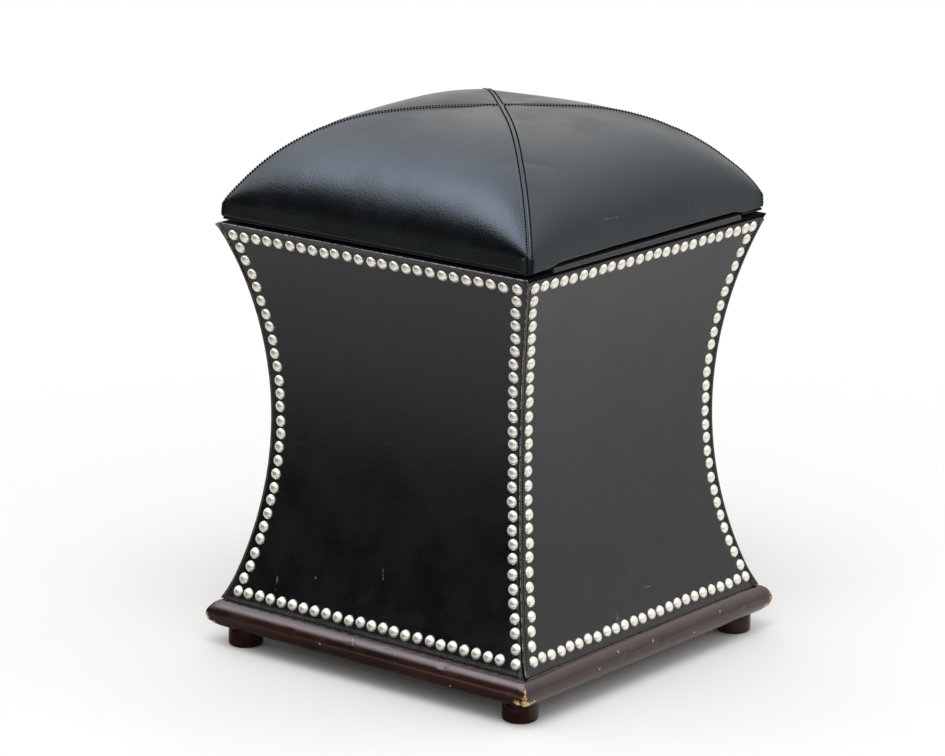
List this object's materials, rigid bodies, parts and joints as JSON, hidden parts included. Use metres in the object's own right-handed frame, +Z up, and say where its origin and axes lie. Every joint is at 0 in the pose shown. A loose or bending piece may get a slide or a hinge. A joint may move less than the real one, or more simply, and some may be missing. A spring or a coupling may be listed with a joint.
{
  "type": "storage stool",
  "caption": "Square waisted storage stool in black leather with domed nail edging, a hinged domed lid, a bullnose wood base and short round feet.",
  "frame": {"origin": "on the floor, below the middle of the stool", "axes": "+Z up, -Y towards the front where the lid lifts, +Y towards the hinge"},
  "size_m": [0.406, 0.406, 0.5431],
  "materials": {
    "black_leather": "satin",
    "nickel": "polished",
    "stained_wood": "satin",
    "plywood": "matte",
    "black_wood": "satin",
    "lining_cloth": "matte",
    "padding": "matte",
    "felt": "matte",
    "black_steel": "satin"
  },
  "bodies": {
    "box": {"leather_panel_right": "black_leather", "leather_panel_back": "black_leather", "leather_panel_left": "black_leather", "leather_panel_front": "black_leather", "nails_right": "nickel", "nails_back": "nickel", "nails_left": "nickel", "nails_front": "nickel", "base_rail_right": "stained_wood", "base_rail_back": "stained_wood", "base_rail_left": "stained_wood", "base_rail_front": "stained_wood", "foot_front_left": "stained_wood", "foot_front_right": "stained_wood", "foot_back_left": "stained_wood", "foot_back_right": "stained_wood", "side_panel_right": "plywood", "side_panel_back": "plywood", "side_panel_left": "plywood", "side_panel_front": "plywood", "floor_panel": "plywood", "rim_rail_right": "black_wood", "rim_rail_back": "black_wood", "rim_rail_left": "black_wood", "rim_rail_front": "black_wood", "lining_right": "lining_cloth", "lining_back": "lining_cloth", "lining_left": "lining_cloth", "lining_front": "lining_cloth", "floor_lining": "lining_cloth", "lid_bumpers": "felt", "hinge_box_leaf": "black_steel", "hinge_pin": "black_steel", "hinge_box_screws": "black_steel"},
    "lid": {"lid_cover_right": "black_leather", "lid_cover_back": "black_leather", "lid_cover_left": "black_leather", "lid_cover_front": "black_leather", "lid_board": "plywood", "lid_padding": "padding", "lid_dust_cover": "lining_cloth", "hinge_lid_leaf": "black_steel", "hinge_lid_screws": "black_steel"}
  },
  "joints": [
    {"name": "lid_hinge", "type": "hinge", "parent": "box", "child": "lid", "pos_m": [0, 0.187, 0.4335], "axis": [-1, 0, 0], "range_deg": [0, 95]}
  ]
}
